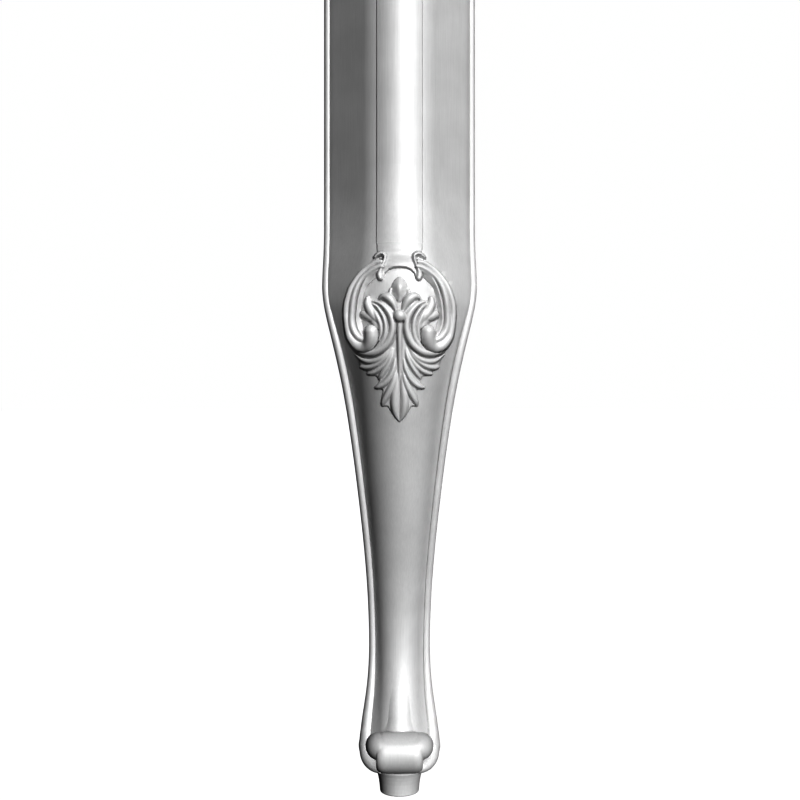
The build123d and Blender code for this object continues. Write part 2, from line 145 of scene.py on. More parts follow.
# ---------------------------------------------------------------- the carving
# Centre lines of the carved ribs, right half: V, Z and the rib's radius.
STRANDS = {
    "strand_1": [(20.9, 403.7, 0.71), (17.3, 402.8, 1.42), (13.1, 400.3, 1.89), (8.3, 394.6, 2.36), (5.8, 387.5, 2.52), (6.0, 379.5, 2.75), (9.8, 370.7, 3.08), (17.4, 364.7, 3.33), (25.1, 363.5, 3.34), (31.6, 365.0, 2.72), (36.6, 369.2, 1.61)],
    "strand_2": [(21.3, 402.0, 0.71), (16.8, 398.2, 1.50), (12.3, 390.7, 1.89), (10.9, 382.1, 2.05), (12.5, 374.2, 2.05), (16.9, 368.3, 1.90), (21.8, 365.7, 0.95)],
    "strand_3": [(22.1, 399.6, 1.11), (17.8, 392.4, 2.05), (15.0, 385.3, 1.89), (14.7, 379.0, 1.58), (16.2, 373.2, 0.95)],
    "lobe_top": [(25.0, 406.3, 1.9), (25.0, 402.4, 3.1), (23.2, 397.8, 3.8), (20.3, 393.0, 3.6), (16.6, 388.1, 1.8)],
    "lobe_side": [(27.9, 393.7, 3.0), (25.6, 392.8, 3.6), (22.5, 391.4, 3.6), (18.9, 388.9, 2.0)],
    "web": [(23.5, 397.0, 3.0), (20.6, 391.0, 4.0), (17.2, 385.0, 3.2)],
    "petal": [(2.7, 396.1, 0.94), (4.7, 401.2, 2.67), (8.0, 405.6, 3.61), (11.8, 407.5, 2.75), (14.6, 406.8, 1.50), (16.1, 405.6, 0.63)],
    "under": [(15.7, 402.4, 1.26), (10.7, 400.9, 2.67), (6.6, 396.9, 2.51), (3.9, 392.2, 1.10)],
    "leaf_a": [(35.7, 362.7, 0.72), (28.8, 357.9, 1.92), (21.9, 356.9, 2.31), (14.7, 359.5, 2.30), (9.3, 365.3, 1.58), (6.3, 371.1, 0.79)],
    "leaf_b": [(30.9, 352.6, 1.21), (27.2, 352.0, 2.16), (21.9, 352.8, 2.31), (16.2, 355.7, 2.14), (10.6, 361.4, 1.82), (7.1, 368.0, 0.95)],
    "leaf_c": [(25.3, 347.0, 1.12), (21.9, 347.6, 1.92), (17.3, 349.9, 2.07), (12.2, 354.4, 1.98), (8.1, 360.7, 1.66), (5.7, 367.2, 0.95)],
    "leaf_d": [(16.6, 343.2, 0.88), (14.2, 346.4, 1.91), (10.0, 352.4, 2.14), (6.6, 359.4, 1.82), (4.9, 366.4, 0.95)],
    "leaf_e": [(19.2, 336.0, 1.04), (16.4, 336.9, 2.15), (11.9, 339.6, 2.47), (7.8, 344.5, 2.38), (4.9, 350.8, 1.90), (3.3, 358.6, 0.95)],
    "leaf_f": [(13.8, 322.0, 1.04), (12.6, 325.4, 2.24), (9.9, 330.2, 2.71), (6.7, 336.2, 2.63), (4.3, 342.6, 2.06), (2.7, 350.0, 0.95)],
    "leaf_tip": [(0.6, 309.8, 0.80), (2.7, 315.4, 2.56), (3.8, 322.2, 3.43), (3.7, 330.2, 3.19), (2.5, 338.9, 2.07), (1.7, 346.8, 0.95)],
    "hook": [(16.1, 424.5, 1.03), (14.9, 428.5, 1.19), (13.1, 433.1, 1.19), (11.7, 437.2, 1.27), (11.9, 440.3, 1.35), (14.1, 441.9, 1.43), (17.0, 441.4, 1.43), (19.6, 439.2, 1.03)],
    "rib": [(0.0, 389.5, 2.3), (0.0, 377.3, 2.1), (0.0, 365.6, 1.7), (0.0, 353.9, 1.25), (0.0, 342.1, 0.7)],
    "bud": [(0.0, 421.9, 1.26), (0.0, 418.5, 4.09), (0.0, 414.5, 6.29), (0.0, 411.0, 5.50), (0.0, 407.5, 3.45), (0.0, 403.5, 1.10)],
    "cuff_end": [(15.2, 428.0, 1.7), (15.7, 424.6, 2.3), (15.1, 422.2, 2.1)],
    "bud_side": [(6.8, 413.0, 1.34), (7.4, 410.6, 1.26), (6.0, 407.5, 1.10)],
}
# The ring's two tubes and the comma they curl into.
RING = {
    "outer": [(14.6, 435.1, 1.8), (19.3, 434.3, 2.05), (24.5, 431.1, 2.35), (29.4, 427.1, 2.55), (34.0, 421.7, 2.65), (37.7, 415.8, 2.75), (40.2, 409.5, 2.75), (42.1, 401.9, 2.85), (42.3, 392.4, 3.0), (40.3, 379.8, 3.5), (37.3, 373.7, 4.1), (32.5, 369.0, 4.6), (27.6, 367.6, 4.4)],
    "inner": [(13.8, 431.2, 1.60), (16.8, 430.8, 1.70), (21.3, 428.7, 1.90), (24.9, 426.3, 2.00), (28.9, 423.1, 2.00), (32.4, 418.1, 2.00), (35.1, 411.9, 2.10), (37.0, 403.7, 2.20), (38.0, 393.6, 2.35), (37.8, 386.5, 2.70), (35.9, 380.5, 2.80), (32.4, 375.8, 2.70), (28.1, 373.5, 2.00)],
    "comma": [(33.2, 369.4, 4.0), (28.6, 367.9, 4.6), (24.6, 369.2, 5.1), (22.6, 372.8, 5.6), (22.0, 376.6, 5.9), (22.2, 380.0, 5.9)],
}
# The ring's inner wall: its lip and its foot, V and Z.
LIP = [(13.7, 429.6), (16.1, 428.7), (20.4, 427.1), (25.1, 424.2), (28.3, 419.3), (31.0, 412.7), (33.3, 404.1), (34.5, 393.2), (34.1, 386.2), (32.3, 381.0), (27.8, 375.5)]
WALL_FOOT = [(13.8, 427.2), (17.0, 424.4), (19.7, 421.5), (23.4, 418.2), (26.1, 415.0), (27.9, 410.9), (29.0, 405.4), (30.1, 398.1), (30.5, 392.2), (29.4, 386.9), (27.8, 376.6)]
# Outline of the leaf's thin ground and of the cuff over the scrolls, right half.
LEAF_OUTLINE = [(0.0, 381.2), (9.5, 369.6), (17.4, 361.5), (28.8, 360.2), (36.1, 363.3), (34.4, 359.6), (32.3, 355.6), (31.7, 353.1), (29.8, 350.7), (27.2, 350.0), (26.0, 349.1), (25.4, 346.6), (22.9, 345.4), (18.9, 345.3), (15.9, 342.5), (16.6, 340.2), (19.3, 336.4), (17.4, 334.8), (13.1, 334.3), (14.4, 328.6), (13.5, 320.9), (9.5, 321.2), (7.7, 318.2), (4.4, 312.6), (0.0, 308.2)]
CUFF_OUTLINE = [(0.0, 447.0), (16.4, 447.4), (16.3, 443.2), (13.9, 440.1), (12.5, 436.8), (14.2, 431.5), (16.4, 426.2), (17.9, 422.4), (15.4, 420.4), (13.1, 420.8), (11.4, 426.1), (8.2, 428.9), (5.0, 430.1), (0.0, 430.5)]


# Each rib: height of its foot off the knee, height of its crown over that as a
# part of its radius, and how its back falls off: 0.5 round, 0 a straight ridge.
RING_CROWN = {"outer": (4.6, 0.85, 0.5), "inner": (4.6, 0.85, 0.6), "comma": (3.6, 1.05, 0.5)}
CROWN = {"strand_1": (2.6, 1.05, 0.5),
         "strand_2": (3.0, 1.25, 0.55), "strand_3": (3.0, 1.2, 0.55), "lobe_top": (2.6, 0.85, 0.5),
         "lobe_side": (2.2, 0.9, 0.5), "web": (1.8, 0.7, 0.6), "petal": (2.6, 1.0, 0.55), "under": (1.3, 0.6, 0.6),
         "leaf_a": (1.0, 1.25, 0.55), "leaf_b": (1.0, 1.2, 0.55), "leaf_c": (1.0, 1.2, 0.55), "leaf_d": (1.0, 1.2, 0.55),
         "leaf_e": (1.0, 1.1, 0.55), "leaf_f": (0.9, 1.05, 0.55), "leaf_tip": (0.8, 0.85, 0.6), "hook": (3.9, 1.5, 0.5),
         "rib": (2.5, 1.0, 0.5), "bud": (0.8, 1.15, 0.0), "bud_side": (1.2, 0.9, 0.6),
         "cuff_end": (3.2, 0.95, 0.5)}
LEAF_GROUND = 1.2
BALL_R = 5.0
BALL_Z = 391.8
BURIED = -1.2


def curve(points, n=12):
    """Smooth curve through a rib's points, as V, Z and radius."""
    p = np.array(points, float)
    q = np.vstack([2 * p[0] - p[1], p, 2 * p[-1] - p[-2]])
    out = []
    for i in range(1, len(q) - 2):
        for t in np.arange(n) / n:
            out.append(0.5 * (2 * q[i] + (q[i + 1] - q[i - 1]) * t
                              + (2 * q[i - 1] - 5 * q[i] + 4 * q[i + 1] - q[i + 2]) * t * t
                              + (3 * q[i] - q[i - 1] - 3 * q[i + 1] + q[i + 2]) * t ** 3))
    out.append(q[-2])
    return np.array(out)


def inside_depth(v, z, outline):
    """Distance inside (positive) or outside a closed outline."""
    poly = np.array(outline + [(-a, b) for a, b in reversed(outline) if a > 0.01], float)
    nxt = np.roll(poly, -1, axis=0)
    best = np.full(v.shape, 1e9)
    odd = np.zeros(v.shape, bool)
    for (x0, y0), (x1, y1) in zip(poly, nxt):
        dx, dy = x1 - x0, y1 - y0
        t = np.clip(((v - x0) * dx + (z - y0) * dy) / (dx * dx + dy * dy + 1e-12), 0, 1)
        best = np.minimum(best, np.hypot(v - x0 - t * dx, z - y0 - t * dy))
        if y0 != y1:
            cut = (z > min(y0, y1)) & (z <= max(y0, y1)) & (v < x0 + (z - y0) * dx / dy)
            odd ^= cut
    return np.where(odd, best, -best)


def rib_front(a, z, points, foot, crown, power, level, flank=7.0, sinks=""):
    """U of one rib's face: its crown looks forward, whatever the ground under
    it does, and its flanks are steep."""
    c = curve(points)
    if sinks == "leaf":
        # the leaf's ribs sink into the ground where they meet the stem
        foot = foot * np.where((c[:, 0] < 9.5) & (c[:, 1] > 345.0), np.clip(c[:, 2] / 1.8, 0, 1), 1.0)
    elif sinks == "rib":
        # the stem runs out in the leaf's fold
        foot = foot * np.clip((c[:, 1] - 325.0) / 45.0, 0.3, 1.0)
    u = np.full(a.shape, -99.0)
    box = ((a > c[:, 0].min() - 8) & (a < c[:, 0].max() + 8)
           & (z > c[:, 1].min() - 8) & (z < c[:, 1].max() + 8))
    av, zz = a[box], z[box]
    best = np.full(av.shape, -99.0)
    for (cv, cz, cr), lev in zip(c, level(c[:, 0], c[:, 1], foot)):
        d = np.hypot(av - cv, zz - cz)
        if power:
            top = crown * cr * np.clip(1 - (d / cr) ** 2, 0, 1) ** power
        else:
            # a soft ridge
            top = crown * cr * (1.077 - np.sqrt((d / cr) ** 2 + 0.16))
        best = np.maximum(best, lev + np.where(d < cr, top, -flank * (d - cr)))
    u[box] = best
    return u


def off_knee(v, z, rise):
    """U at a height off the knee's surface."""
    e = 0.5
    dv = (surface_u(v + e, z) - surface_u(v - e, z)) / (2 * e)
    dz = (surface_u(v, z + e) - surface_u(v, z - e)) / (2 * e)
    return surface_u(v, z) + rise * np.sqrt(1 + dv ** 2 + 0.5 * dz ** 2)


def off_crest(v, z, rise):
    """U at a height off the ring's own ground."""
    return crest_u(v, z) + 0.9 * np.clip((z - 395.0) / 18.0, 0, 1) + rise


def near(a, z, points):
    """Distance to a line through V, Z points."""
    best = np.full(a.shape, 1e9)
    for (x0, y0), (x1, y1) in zip(points, points[1:]):
        dx, dy = x1 - x0, y1 - y0
        t = np.clip(((a - x0) * dx + (z - y0) * dy) / (dx * dx + dy * dy), 0, 1)
        best = np.minimum(best, np.hypot(a - x0 - t * dx, z - y0 - t * dy))
    return best


def inside(a, z, poly):
    """Whether V, Z lies in a closed outline."""
    odd = np.zeros(a.shape, bool)
    for (x0, y0), (x1, y1) in zip(poly, poly[1:] + poly[:1]):
        if y0 != y1:
            odd ^= (z > min(y0, y1)) & (z <= max(y0, y1)) & (a < x0 + (z - y0) * (x1 - x0) / (y1 - y0))
    return odd


def bead_relief(a, z):
    """Height of the front bead off the knee, and of the cuff it runs out in."""
    h = BEAD_HALF_WIDTH
    lift = (surface_u(np.full(z.shape, h), z) + BEAD_EDGE + np.sqrt(np.maximum(BEAD_R ** 2 - a * a, 0))
            - math.sqrt(BEAD_R ** 2 - h * h) - surface_u(a, z))
    return lift


def relief(v, z):
    """Height of the carving off the knee's surface, at V and Z."""
    a = np.abs(v)
    h = np.full(v.shape, BURIED)
    leaf = inside_depth(v, z, LEAF_OUTLINE)
    h = np.maximum(h, np.clip(LEAF_GROUND + (leaf - 0.3) * 2.5, BURIED, LEAF_GROUND))
    # front bead, neck and flare of the cuff
    neck = np.interp(z, [429.0, 430.5, 432.0, 434.0, 436.0, 437.6, 439.2, 441.2, 443.5, 446.0, 448.0],
                     [1.0, 1.2, 1.5, 1.4, 0.8, 0.0, -0.9, -1.4, -1.1, -0.3, 0.0])
    half = np.interp(z, [420.0, 434.0, 438.0, 440.5, 443.0, 446.0], [13.5, 13.5, 15.6, 16.6, 17.7, BEAD_HALF_WIDTH])
    bead = bead_relief(np.minimum(a, half), z) + neck * (1 - 0.25 * np.clip(a / 14.0, 0, 1.2) ** 2)
    side = np.where(a < half, bead, bead - 7.0 * (a - half))
    cuff = inside_depth(v, z, CUFF_OUTLINE)
    low = np.where(cuff > 0, bead - 1.4 * np.clip(1 - cuff / 1.1, 0, 1) ** 2, bead + 7.0 * cuff - 1.4)
    h = np.maximum(h, np.where(z > 437.5, side, low))
    d = np.hypot(v, z - BALL_Z) / BALL_R
    h = np.maximum(h, np.where(d < 1, 4.0 + 0.8 * BALL_R * np.sqrt(np.clip(1 - d * d, 0, 1)), BURIED))
    return np.maximum(h, BURIED)


def ring_front(v, z, base):
    """U of the ring's face: two tubes, and an inner wall that falls from its
    lip to the knee."""
    a = np.abs(v)
    crest = crest_u(v, z) + 0.9 * np.clip((z - 395.0) / 18.0, 0, 1)
    lip = [tuple(p[:2]) for p in curve([(v0, z0, 0) for v0, z0 in LIP])]
    foot = [tuple(p[:2]) for p in curve([(v0, z0, 0) for v0, z0 in WALL_FOOT])]
    wall = inside(a, z, lip + foot[::-1])
    d0, d1 = near(a, z, lip), near(a, z, foot)
    t = d0 / (d0 + d1 + 1e-6)
    top = crest + 5.0
    low = base + 0.25
    g = np.where(wall, top + (low - top) * t - 0.5 * np.clip(1 - d0 / 0.6, 0, 1) ** 2,
                 np.where(d0 < d1, top - 0.5 - 3.5 * d0, low - 9.0 * d1))
    for name, points in RING.items():
        g = np.maximum(g, rib_front(a, z, points, *RING_CROWN[name], off_crest, 16.0 if name != "inner" else 4.0))
    return g


# ---------------------------------------------------------------- the meshes
def mesh_piece(name, verts, faces):
    me = bpy.data.meshes.new(name)
    me.from_pydata([tuple(p) for p in verts], [], [tuple(int(i) for i in f) for f in faces])
    me.validate()
    me.update()
    ob = bpy.data.objects.new(name, me)
    bpy.context.scene.collection.objects.link(ob)
    return ob


def skin(loops, cap=True):
    """Closed mesh over a stack of closed loops of equal length."""
    m, n = loops.shape[:2]
    verts = loops.reshape(-1, 3)
    i, j = np.meshgrid(np.arange(m - 1), np.arange(n), indexing="ij")
    k = (j + 1) % n
    quads = np.stack([i * n + j, i * n + k, (i + 1) * n + k, (i + 1) * n + j], axis=-1).reshape(-1, 4)
    faces = [list(q) for q in quads]
    faces.append(list(range(n - 1, -1, -1)))
    faces.append(list((m - 1) * n + np.arange(n)))
    return verts, faces


def body_loops(zs):
    """Outline of the leg at each height: front rounding, sunk panels, corner
    beads, plain backs."""
    loops = []
    for z, (front, width, r, s, fr, q, lean) in zip(zs, smooth_at(zs)):
        f = AXIS + front
        b = f - width
        c = f - s - fr
        cx, cy = f - r, -b - r
        lean = math.radians(lean)
        x4, y4 = c + fr * math.cos(lean), -c + fr * math.sin(lean)
        deep = s
        for _ in range(12):
            # where the panel runs into the bead
            reach = math.sqrt(max(r * r - (r - deep) ** 2, 0.01))
            deep = f - x4 + math.tan(lean) * (cy - reach - y4)
        x3, y3 = f - deep, cy - reach
        half = []
        for t in np.linspace(-math.pi / 4, lean, 24):
            half.append((c + fr * math.cos(t), -c + fr * math.sin(t)))
        for k in np.linspace(0, 1, 11)[1:-1]:
            half.append((x4 + (x3 - x4) * k, y4 + (y3 - y4) * k))
        t1 = math.atan2(y3 - cy, x3 - cx)
        for t in np.linspace(t1, math.pi / 2, 14):
            half.append((cx + r * math.cos(t), cy + r * math.sin(t)))
        for k in np.linspace(0, 1, 8)[1:-1]:
            half.append((cx + (b + q - cx) * k, -b))
        for t in np.linspace(math.pi / 2, 3 * math.pi / 4, 5):
            half.append((b + q + q * math.cos(t), -b - q + q * math.sin(t)))
        right = np.array(half)
        left = np.stack([-right[::-1, 1], -right[::-1, 0]], axis=1)[1:-1]
        loop = np.vstack([right, left])
        loops.append(np.column_stack([loop, np.full(len(loop), z)]) / 1000.0)
    return np.array(loops)


zs = np.concatenate([
    np.linspace(19.0, 60.0, 42)[:-1],
    np.linspace(60.0, 130.0, 36)[:-1],
    np.linspace(130.0, 300.0, 57)[:-1],
    np.linspace(300.0, 515.3, 87)[:-1],
    np.linspace(515.3, HEIGHT, 12),
])
body = mesh_piece("leg", *skin(body_loops(zs)))


def bead_loops(zs, n=29):
    loops = []
    for z in zs:
        h = BEAD_HALF_WIDTH
        sink = 0.0
        if z < 451.0:
            # under the carving's own skin from here down
            k = np.clip((451.0 - z) / 3.0, 0, 1)
            h, sink = h - 0.5 * k, 1.2 * k
        edge = float(surface_u(np.array([BEAD_HALF_WIDTH]), np.array([z]))[0]) + BEAD_EDGE
        v = np.linspace(-h, h, n)
        u = edge + np.sqrt(BEAD_R ** 2 - v * v) - math.sqrt(BEAD_R ** 2 - BEAD_HALF_WIDTH ** 2) - sink
        # the quirk: a steep fillet from the bead's edge down to the panel
        q = h + (0.7 if z >= 451.0 else 0.0)
        low = float(surface_u(np.array([q]), np.array([z]))[0]) - (0.35 if z >= 451.0 else 2.0)
        u = np.concatenate([u, [low, low - 3, low - 6, low - 3, low]])
        v = np.concatenate([v, [q, h - 0.2, 0, -h + 0.2, -q]])
        loops.append(to_xyz(u, v, np.full(len(v), z)))
    return np.array(loops)


bead = mesh_piece("bead", *skin(bead_loops(np.concatenate([
    np.linspace(444.0, 455.0, 12)[:-1], np.linspace(455.0, 515.3, 25)[:-1], np.linspace(515.3, HEIGHT, 10)]))))


def grid_solid(u, v, z, depth):
    """Closed sheet: a front grid and the same grid set back."""
    m, n = u.shape
    front = to_xyz(u, v, z).reshape(-1, 3)
    back = to_xyz(u - depth, v, z).reshape(-1, 3)
    off = m * n
    i, j = np.meshgrid(np.arange(m - 1), np.arange(n - 1), indexing="ij")
    a, b, c, d = i * n + j, i * n + j + 1, (i + 1) * n + j + 1, (i + 1) * n + j
    faces = [np.stack([a, b, c, d], -1).reshape(-1, 4),
             np.stack([d + off, c + off, b + off, a + off], -1).reshape(-1, 4)]
    rim = np.concatenate([np.arange(n), np.arange(1, m) * n + n - 1,
                          (m - 1) * n + np.arange(n - 2, -1, -1), np.arange(m - 2, 0, -1) * n])
    nxt = np.roll(rim, -1)
    faces.append(np.stack([rim, rim + off, nxt + off, nxt], -1))
    return np.vstack([front, back]), np.vstack(faces)


def blur(h):
    p = np.pad(h, 1, mode="edge")
    h = (p[:-2, 1:-1] + 2 * p[1:-1, 1:-1] + p[2:, 1:-1]) / 4
    p = np.pad(h, 1, mode="edge")
    return (p[1:-1, :-2] + 2 * p[1:-1, 1:-1] + p[1:-1, 2:]) / 4


STEP = 0.42
pz = np.linspace(303.0, 451.0, int(148 / STEP))
ps = np.linspace(-1, 1, int(95 / STEP) | 1)
e = np.clip((pz - 340) / 38, 0, 1)
reach = 34 + 13.5 * (3 * e ** 2 - 2 * e ** 3)
PV = reach[:, None] * ps[None, :]
PZ = np.repeat(pz[:, None], len(ps), 1)
base = surface_u(PV, PZ)
slope_v = np.gradient(base, axis=1) / np.gradient(PV, axis=1)
slope_z = np.gradient(base, pz, axis=0)
height = relief(PV, PZ)
height[:2], height[:, :2], height[:, -2:] = BURIED, BURIED, BURIED
# the top rows dip just under the front bead's own surface
fade = np.clip((PZ - 448.6) / 1.6, 0, 1)
height = np.where(height > 0, height - 0.08 * fade, height)
steep = np.clip((446.0 - PZ) / 8.0, 0, 1)
front = base + height * (1 + steep * (np.sqrt(1 + slope_v ** 2 + 0.5 * slope_z ** 2) - 1))
for name, points in STRANDS.items():
    rib = np.maximum(rib_front(np.abs(PV), PZ, points, *CROWN[name], off_knee,
                               sinks=name[:4] if name != "leaf_tip" else ""), base - 3.0)
    rib[:2], rib[:, :2], rib[:, -2:] = base[:2] - 3.0, base[:, :2] - 3.0, base[:, -2:] - 3.0
    front = np.maximum(front, rib)
front = blur(front)
front = blur(front)
ring = ring_front(PV, PZ, base)
ring[:2], ring[:, :2], ring[:, -2:] = -99.0, -99.0, -99.0
ring = blur(np.maximum(ring, base - 3.0))
front = np.maximum(front, blur(ring))
carving = mesh_piece("carving", *grid_solid(front, PV, PZ, 5.0 + front - base))


def spindle(stations, n=72):
    """Closed body of ellipses across V: V, centre U, centre Z, half U, half Z."""
    loops = []
    for v, u, z, ru, rz in stations:
        t = np.linspace(0, 2 * math.pi, n, endpoint=False)
        loops.append(to_xyz(u + ru * np.cos(t), np.full(n, v), z + rz * np.sin(t)))
    return np.array(loops)


# Scroll toe: a broad band that rolls under, and the eye it wraps, which is
# rounded over at both ends and merges into the band on top.
TOE_U, TOE_Z, TOE_R, TOE_HALF = 17.5, 37.2, 16.6, 18.9
st = []
for k in np.linspace(-1, 1, 61):
    v = TOE_HALF * math.sin(k * math.pi / 2)
    end = max(0.0, (abs(v) - (TOE_HALF - 8.0)) / 8.0)
    r = TOE_R - 0.4 * (v / TOE_HALF) ** 2 - 4.2 * (1 - math.sqrt(max(0.0, 1 - end ** 2.4)))
    st.append((v, TOE_U, TOE_Z, r, r))
toe = mesh_piece("toe", *skin(spindle(st)))
st = []
for k in np.linspace(-1, 1, 97):
    v = 27.75 * math.sin(k * math.pi / 2)
    end = max(0.0, (abs(v) - 16.5) / 11.3)
    rz = max(0.3, 10.7 * (1 - end ** 2.3) ** 0.5)
    ru = max(0.3, 15.3 * (1 - (abs(v) / 27.8) ** 4.2) ** 0.5)
    st.append((v, 17.3 - 2.0 * end, 42.2, ru, rz))
eyes = mesh_piece("eyes", *skin(spindle(st)))


def tube(points, n=24, sub=10):
    """Closed round tube through U, V, Z points with its own radii."""
    c = np.array(points, float)
    q = np.vstack([2 * c[0] - c[1], c, 2 * c[-1] - c[-2]])
    out = []
    for i in range(1, len(q) - 2):
        for t in np.arange(sub) / sub:
            out.append(0.5 * (2 * q[i] + (q[i + 1] - q[i - 1]) * t
                              + (2 * q[i - 1] - 5 * q[i] + 4 * q[i + 1] - q[i + 2]) * t * t
                              + (3 * q[i] - q[i - 1] - 3 * q[i + 1] + q[i + 2]) * t ** 3))
    out.append(q[-2])
    c = np.array(out)
    tan = np.gradient(c[:, :3], axis=0)
    tan /= np.linalg.norm(tan, axis=1)[:, None]
    side = np.array([1.0, 0.2, 0.1])
    loops = []
    for p, d in zip(c, tan):
        side = side - d * side.dot(d)
        side /= np.linalg.norm(side)
        other = np.cross(d, side)
        t = np.linspace(0, 2 * math.pi, n, endpoint=False)
        ring = p[:3] + p[3] * (np.cos(t)[:, None] * side + np.sin(t)[:, None] * other)
        loops.append(to_xyz(ring[:, 0], ring[:, 1], ring[:, 2]))
    return np.array(loops)


straps = []
for s in (1, -1):
    straps.append(mesh_piece("strap", *skin(tube([
        (-9.9, s * 25.9, 60.0, 4.5), (-6.8, s * 26.5, 53.0, 5.3), (-4.2, s * 27.2, 46.0, 5.9), (-3.0, s * 27.4, 39.5, 6.2),
        (-0.2, s * 27.5, 33.6, 5.9), (4.2, s * 26.5, 28.8, 5.4), (8.8, s * 23.8, 25.6, 4.8),
        (12.8, s * 20.0, 23.9, 4.3), (16.0, s * 15.0, 23.4, 4.0)]))))

# tongue: the soft ridge down the front that flares out onto the roll
loops = []
for z in np.linspace(108.0, 46.5, 50):
    w = float(np.interp(z, [46, 51, 53.5, 56, 59, 63, 110], [15.6, 15.4, 14.4, 13.0, 11.8, 11.0, 11.0]))
    lift = float(np.interp(z, [46, 56.5, 60, 64, 70, 78, 90, 108],
                           [1.9, 1.9, 1.9, 1.7, 1.2, 0.6, -0.2, -1.2]))
    edge = float(surface_u(np.array([w]), np.array([z]))[0]) - 1.0
    crown = float(surface_u(np.array([0.0]), np.array([z]))[0]) + lift
    v = np.linspace(-w, w, 41)
    u = crown - (crown - edge) * np.abs(v / w) ** 2.3
    u = np.concatenate([u, [edge - 5, edge - 8, edge - 5]])
    v = np.concatenate([v, [w - 0.1, 0, -w + 0.1]])
    loops.append(to_xyz(u, v, np.full(len(v), z)))
tongue = mesh_piece("tongue", *skin(np.array(loops)[::-1]))

# round pad: a slight cove down to a flat underside
n = 96
loops = []
for z, r in [(0.0, 15.4), (0.35, 15.95), (0.9, 16.2), (3.0, 16.35), (6.0, 16.65), (9.5, 17.1), (13.0, 17.8),
             (16.0, 18.6), (18.5, 19.5), (21.5, 19.8)]:
    t = np.linspace(0, 2 * math.pi, n, endpoint=False)
    loops.append(np.stack([r * np.cos(t), r * np.sin(t), np.full(n, z)], -1) / 1000.0)
pad = mesh_piece("pad", *skin(np.array(loops)))


def outward(ob):
    import bmesh
    bm = bmesh.new()
    bm.from_mesh(ob.data)
    bmesh.ops.recalc_face_normals(bm, faces=bm.faces)
    bm.to_mesh(ob.data)
    bm.free()


parts = [bead, carving, toe, eyes, tongue, pad] + straps
for ob in [body] + parts:
    outward(ob)
bpy.context.view_layer.objects.active = body
for ob in parts:
    m = body.modifiers.new("join", "BOOLEAN")
    m.operation = "UNION"
    m.solver = "MANIFOLD"
    m.object = ob
    bpy.ops.object.modifier_apply(modifier=m.name)
for ob in parts:
    bpy.data.objects.remove(ob)
leg = body
leg.data.name = "leg_carved"
leg.name = "leg_carved"
print("triangles", sum(len(p.vertices) - 2 for p in leg.data.polygons))

bpy.ops.object.select_all(action="DESELECT")
leg.select_set(True)
bpy.context.view_layer.objects.active = leg
bpy.ops.object.shade_auto_smooth(angle=math.radians(38))
for m in list(leg.modifiers):
    if m.type == "NODES":
        bpy.ops.object.modifier_apply(modifier=m.name)

# ---------------------------------------------------------------- the finish
mat = bpy.data.materials.new("primed_wood")
mat.use_nodes = True
nt = mat.node_tree
nodes, links = nt.nodes, nt.links
nodes.clear()
out = nodes.new("ShaderNodeOutputMaterial")
bsdf = nodes.new("ShaderNodeBsdfPrincipled")
links.new(bsdf.outputs["BSDF"], out.inputs["Surface"])
bsdf.inputs["Metallic"].default_value = 0.0
bsdf.inputs["Specular IOR Level"].default_value = 1.0
bsdf.inputs["IOR"].default_value = 1.7
coord = nodes.new("ShaderNodeTexCoord")

# long close grain, drawn out along the leg
stretch = nodes.new("ShaderNodeMapping")
stretch.inputs["Scale"].default_value = (900.0, 900.0, 26.0)
links.new(coord.outputs["Object"], stretch.inputs["Vector"])
grain = nodes.new("ShaderNodeTexNoise")
grain.inputs["Scale"].default_value = 1.0
grain.inputs["Detail"].default_value = 5.0
grain.inputs["Roughness"].default_value = 0.62
links.new(stretch.outputs["Vector"], grain.inputs["Vector"])
# slow cloud in the primer
cloud = nodes.new("ShaderNodeTexNoise")
cloud.inputs["Scale"].default_value = 34.0
cloud.inputs["Detail"].default_value = 3.0
links.new(coord.outputs["Object"], cloud.inputs["Vector"])
# fine orange-peel of the sprayed coat
peel = nodes.new("ShaderNodeTexNoise")
peel.inputs["Scale"].default_value = 1500.0
peel.inputs["Detail"].default_value = 2.0
links.new(coord.outputs["Object"], peel.inputs["Vector"])
# painted shade: crevices are darkened and crowns kept paler by pointiness, standing in for occlusion
geo = nodes.new("ShaderNodeNewGeometry")
painted_cavity_shade = nodes.new("ShaderNodeValToRGB")
painted_cavity_shade.color_ramp.elements[0].position = 0.40
painted_cavity_shade.color_ramp.elements[0].color = (0.30, 0.30, 0.30, 1)
painted_cavity_shade.color_ramp.elements[1].position = 0.56
painted_cavity_shade.color_ramp.elements[1].color = (1.0, 1.0, 1.0, 1)
mid = painted_cavity_shade.color_ramp.elements.new(0.49)
mid.color = (0.88, 0.88, 0.88, 1)
links.new(geo.outputs["Pointiness"], painted_cavity_shade.inputs["Fac"])
tone = nodes.new("ShaderNodeValToRGB")
tone.color_ramp.elements[0].position = 0.25
tone.color_ramp.elements[0].color = (0.735, 0.735, 0.735, 1)
tone.color_ramp.elements[1].position = 0.75
tone.color_ramp.elements[1].color = (0.80, 0.80, 0.80, 1)
links.new(cloud.outputs["Fac"], tone.inputs["Fac"])
gtone = nodes.new("ShaderNodeValToRGB")
gtone.color_ramp.elements[0].position = 0.30
gtone.color_ramp.elements[0].color = (0.93, 0.93, 0.93, 1)
gtone.color_ramp.elements[1].position = 0.70
gtone.color_ramp.elements[1].color = (1.0, 1.0, 1.0, 1)
links.new(grain.outputs["Fac"], gtone.inputs["Fac"])
mul1 = nodes.new("ShaderNodeMix")
mul1.data_type = "RGBA"
mul1.blend_type = "MULTIPLY"
mul1.inputs[0].default_value = 1.0
links.new(tone.outputs["Color"], mul1.inputs[6])
links.new(gtone.outputs["Color"], mul1.inputs[7])
mul2 = nodes.new("ShaderNodeMix")
mul2.data_type = "RGBA"
mul2.blend_type = "MULTIPLY"
mul2.inputs[0].default_value = 1.0
links.new(mul1.outputs[2], mul2.inputs[6])
